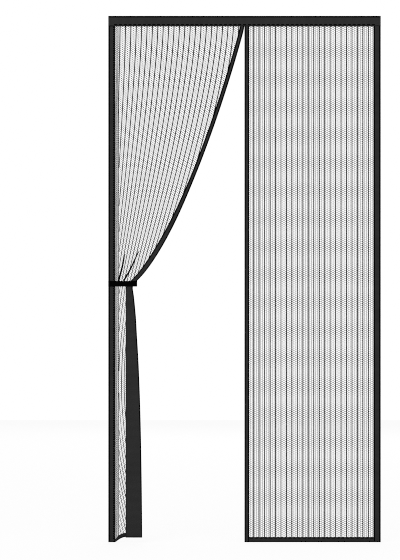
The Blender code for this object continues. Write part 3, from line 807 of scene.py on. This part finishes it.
binding = {"step": 0.010, "lastStep": 0.004, "foldEdge": 0.0056, "leafEdge": 0.0056, "nearFold": 0.0030,
           "shares": [0.12, 0.3, 0.5, 0.7, 0.85], "softFrom": 0.10, "softDepth": 0.0007, "softWidth": 0.02}


def tiedBinding():
    # the left leading tape: it follows the curve to the strap, and opens out as a tail below
    heights = []
    z = tapeTop
    while z > tailLow.z + tail["footEdge"] + binding["lastStep"]:
        heights.append(z)
        z -= binding["step"]
    foot = tailLow.z + tail["footLift"]
    heights += [foot + tail["footEdge"], foot]

    def section(z):
        width = leadWidth(z)
        cut = binding if z > strapFoot else tail
        fold = cut["foldEdge"]
        leaf = cut["leafEdge"]
        between = [fold + (width - leaf - fold) * (1 - share) for share in binding["shares"]]
        steps = [width, width - leaf * 0.5, width - leaf] + between + [fold, binding["nearFold"]]
        return wrapFold(steps, True)

    sections = [section(z) for z in heights]
    columns = len(sections[0])

    def place(i, j):
        z = heights[j]
        u, v = sections[j][i]
        x = leadRight(z) - u
        y = leadMiddle(z) + v
        below = clamp((strapFoot - z) / binding["softFrom"])
        soft = math.sin(u * 150.0 + noise.noise(Vector((0.0, z * 2.2, 5.0))) * 2.0) * binding["softDepth"]
        return Vector((x, y + soft * below * min(u / binding["softWidth"], 1.0), z))

    def measure(i, j):
        return (sections[j][i][0], heights[j])

    piece, spots = clothFromGrid("leftMagnetBinding", columns, len(heights), place, measure, True)
    foldStart = len(binding["shares"]) + 3
    # the black leaf-end columns, the black fold columns and the black foot row are painted edge shade
    edges = {0, 1, columns - 2, columns - 3} | set(range(foldStart, columns - 1 - foldStart))
    return finishCloth(piece, spots, edges, edgeRows=(len(heights) - 2,))


leftBinding = tiedBinding()
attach(leftBinding, "root")
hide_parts("left_magnet_binding")
print("tied binding sewn")


def wavedHem():
    # the left hem rises from the border's foot to the foot of the tail
    stations = 44
    cut = (hemCurve["height"], hemCurve["foldEdge"], hemCurve["leafEdge"])
    hemSection = foldSection(*cut, False)

    def place(i, j):
        x = leftHemLow.x + (leftHemHigh.x - leftHemLow.x - 0.001) * j / (stations - 1)
        u, v = hemSection[i]
        return Vector((x, netPlane + v * hemCurve["flatter"],
                       hemFoot(x) + u * hemHeight(x) / hemCurve["height"]))

    def measure(i, j):
        return (hemSection[i][0], (leftHemHigh.x - leftHemLow.x) * j / (stations - 1))

    piece, spots = clothFromGrid("leftHem", len(hemSection), stations, place, measure, False)
    return finishCloth(piece, spots, edgeSet(hemSection, *cut), hemCurve["thickness"])


leftHem = wavedHem()
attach(leftHem, "root")
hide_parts("left_hem")


stitching = {"headerPitch": 0.0188, "headerLength": 0.0132, "headerWidth": 0.0042, "headerInset": 0.0060,
             "borderPitch": 0.0094, "borderLength": 0.0064, "borderWidth": 0.0054, "borderInset": 0.0048,
             "hemWidth": 0.0026, "hemInset": 0.0062, "height": 0.0011, "headerEnd": 0.02, "borderEnd": 0.01}
front = tapeMiddle - halfTape


def stitchRow(name, spots, length, width, upright):
    # one stitch is a small rounded bar, modelled once and copied along the row
    bpy.ops.object.select_all(action="DESELECT")
    bpy.ops.mesh.primitive_uv_sphere_add(segments=8, ring_count=6, radius=0.5)
    master = bpy.context.object
    for vertex in master.data.vertices:  # a bar with blunt ends, half sunk in the cloth
        x, y, z = vertex.co
        far = abs(x)
        far = min(far * 2.2, 0.5) if far < 0.24 else 0.5 - (0.5 - far) * 0.2
        along = math.copysign(far, x) * length
        y *= stitching["height"]
        vertex.co = (z * width, y, along) if upright else (along, y, z * width)
    base = [tuple(v.co) for v in master.data.vertices]
    faces = [tuple(f.vertices) for f in master.data.polygons]
    bpy.data.objects.remove(master)
    vertices = []
    rings = []
    for x, y, z, turn in spots:
        offset = len(vertices)
        c, s = math.cos(turn), math.sin(turn)
        for vx, vy, vz in base:
            vertices.append((x + vx * c - vz * s, y + vy, z + vx * s + vz * c))
        rings += [tuple(v + offset for v in (reversed(face) if upright else face)) for face in faces]
    mesh = bpy.data.meshes.new(name)
    mesh.from_pydata(vertices, [], rings)
    mesh.update()
    mesh.shade_smooth()
    mesh.materials.append(sewingThread)
    piece = bpy.data.objects.new(name, mesh)
    bpy.context.scene.collection.objects.link(piece)
    return piece


def spread(start, end, pitch):  # stitches' middles, evenly placed at about this pitch
    count = int((end - start) / pitch)
    return [start + (i + 0.5) * (end - start) / count for i in range(count)]


rowsOfStitches = {
    "headerStitches": ([(x, front, headerLow.z + stitching["headerInset"], 0.0)
                        for x in spread(headerLow.x + stitching["headerEnd"],
                                        headerHigh.x - stitching["headerEnd"], stitching["headerPitch"])],
                       stitching["headerLength"], stitching["headerWidth"], False),
    "leftBorderStitches": ([(leftHigh.x - stitching["borderInset"], front, z, 0.0)
                            for z in spread(leftLow.z + stitching["borderEnd"], leftHigh.z,
                                            stitching["borderPitch"])],
                           stitching["borderLength"], stitching["borderWidth"], True),
    "rightHemStitches": ([(x, front, hemHigh.z - stitching["hemInset"], 0.0)
                          for x in spread(hemLow.x, hemHigh.x, stitching["headerPitch"])],
                         stitching["headerLength"], stitching["hemWidth"], False),
}
for name, (spots, length, width, upright) in rowsOfStitches.items():
    piece = stitchRow(name, spots, length, width, upright)
    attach(piece, "root")
print("stitches sewn")


creases = {"paths": [[(-0.4808, -0.9325), (-0.4845, -0.9600), (-0.4923, -0.9950), (-0.5042, -1.0400)],
                     [(-0.4243, -0.9221), (-0.4370, -0.9500), (-0.4580, -0.9950), (-0.4840, -1.0400)]],
           "steps": 24, "topWidth": 0.0042, "footWidth": 0.0080, "rise": 0.0035, "front": 0.0012}


def creaseShadeStrips():
    # two tucks where the gathered net doubles over itself on its way under the strap, drawn as solid
    # near-black strips: partly the doubled net, partly painted fold shadow
    yarn = newYarn()
    for path in creases["paths"]:
        points = []
        widths = []
        for i in range(creases["steps"] + 1):
            share = i / creases["steps"]
            t = share * (len(path) - 1)
            k = min(int(t), len(path) - 2)
            s = t - k
            before = Vector(path[max(k - 1, 0)])
            a, b = Vector(path[k]), Vector(path[k + 1])
            after = Vector(path[min(k + 2, len(path) - 1)])
            spot = 0.5 * (2 * a + (b - before) * s + (2 * before - 5 * a + 4 * b - after) * s * s
                          + (3 * a - before - 3 * b + after) * s ** 3)
            points.append((spot.x, netPlane - creases["front"] - creases["rise"] / 2 * share, spot.y))
            widths.append(creases["topWidth"] + (creases["footWidth"] - creases["topWidth"]) * share)
        addYarn(points, yarn, widths, creases["rise"])
    # the thread's near-black colour stands for the doubled net and for painted fold shadow
    return makeYarnPiece("leftNetCreaseShade", yarn, sewingThread)


leftCreaseShade = creaseShadeStrips()


strap = {"thickness": 0.0012, "bend": 0.0024, "ramp": 0.039, "sewn": 0.0055, "edge": 0.0004,
         "proud": 0.002, "rows": 13, "crumple": 0.0006, "bevel": 0.0003}


def tieStrap():
    # a webbing band: over the border, across the bunch, round its side and back behind the border
    bandFront = strapLow.y
    borderFront = front - clearance * 3 - strap["proud"] - strap["thickness"]
    rear = strapHigh.y
    right = strapHigh.x
    centreX = right - strap["bend"] - strap["thickness"]
    turn = strap["bend"] + strap["thickness"]
    rampEnd = leftHigh.x + strap["ramp"]
    path = [(strapLow.x, borderFront), (leftHigh.x, borderFront),
            (leftHigh.x + strap["ramp"] * 0.5, (borderFront + bandFront) / 2),
            (rampEnd, bandFront), ((rampEnd + centreX) / 2, bandFront)]
    for i in range(7):
        angle = math.radians(-90 + 15 * i)
        path.append((centreX + turn * math.cos(angle), bandFront + turn + turn * math.sin(angle)))
    for i in range(7):
        angle = math.radians(15 * i)
        path.append((centreX + turn * math.cos(angle), rear - turn + turn * math.sin(angle)))
    path.append((leftHigh.x - strap["sewn"], rear))
    height = strapHigh.z - strapLow.z

    def place(i, j):
        x, y = path[i]
        share = j / (strap["rows"] - 1)
        rounding = abs(2 * share - 1) ** 6 * strap["edge"]
        crumple = noise.noise(Vector((x * 60.0, y * 60.0, share * 2.0))) * strap["crumple"]
        inward = 1 if i < len(path) // 2 else -1
        return Vector((x, y + inward * (rounding + abs(crumple)),
                       strapLow.z + height * share + crumple * 0.5))

    def measure(i, j):
        return (path[i][0], height * j / (strap["rows"] - 1))

    piece, _ = clothFromGrid("tiebackStrap", len(path), strap["rows"], place, measure)
    piece.data.materials.append(webbing)
    thick = piece.modifiers.new("webbing thickness", "SOLIDIFY")
    thick.thickness = strap["thickness"]
    thick.offset = -1.0
    soften = piece.modifiers.new("soft edges", "BEVEL")
    soften.width = strap["bevel"]
    soften.segments = 2
    bpy.context.view_layer.objects.active = piece
    bpy.ops.object.modifier_apply(modifier=thick.name)
    bpy.ops.object.modifier_apply(modifier=soften.name)
    bpy.ops.object.select_all(action="DESELECT")
    piece.select_set(True)
    bpy.ops.object.shade_smooth_by_angle(angle=smoothAngle)
    return piece


tieback = tieStrap()
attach(tieback, "root")
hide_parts("tieback_strap")
print("strap closed")


# what rides on what: the net pieces on the root body, in place of the frame's nets
for piece in (rightNet, rightNetSecond, rightNetStripes, leftNet, leftNetStripes, leftCreaseShade):
    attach(piece, "root")
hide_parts("right_net")
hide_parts("left_net")
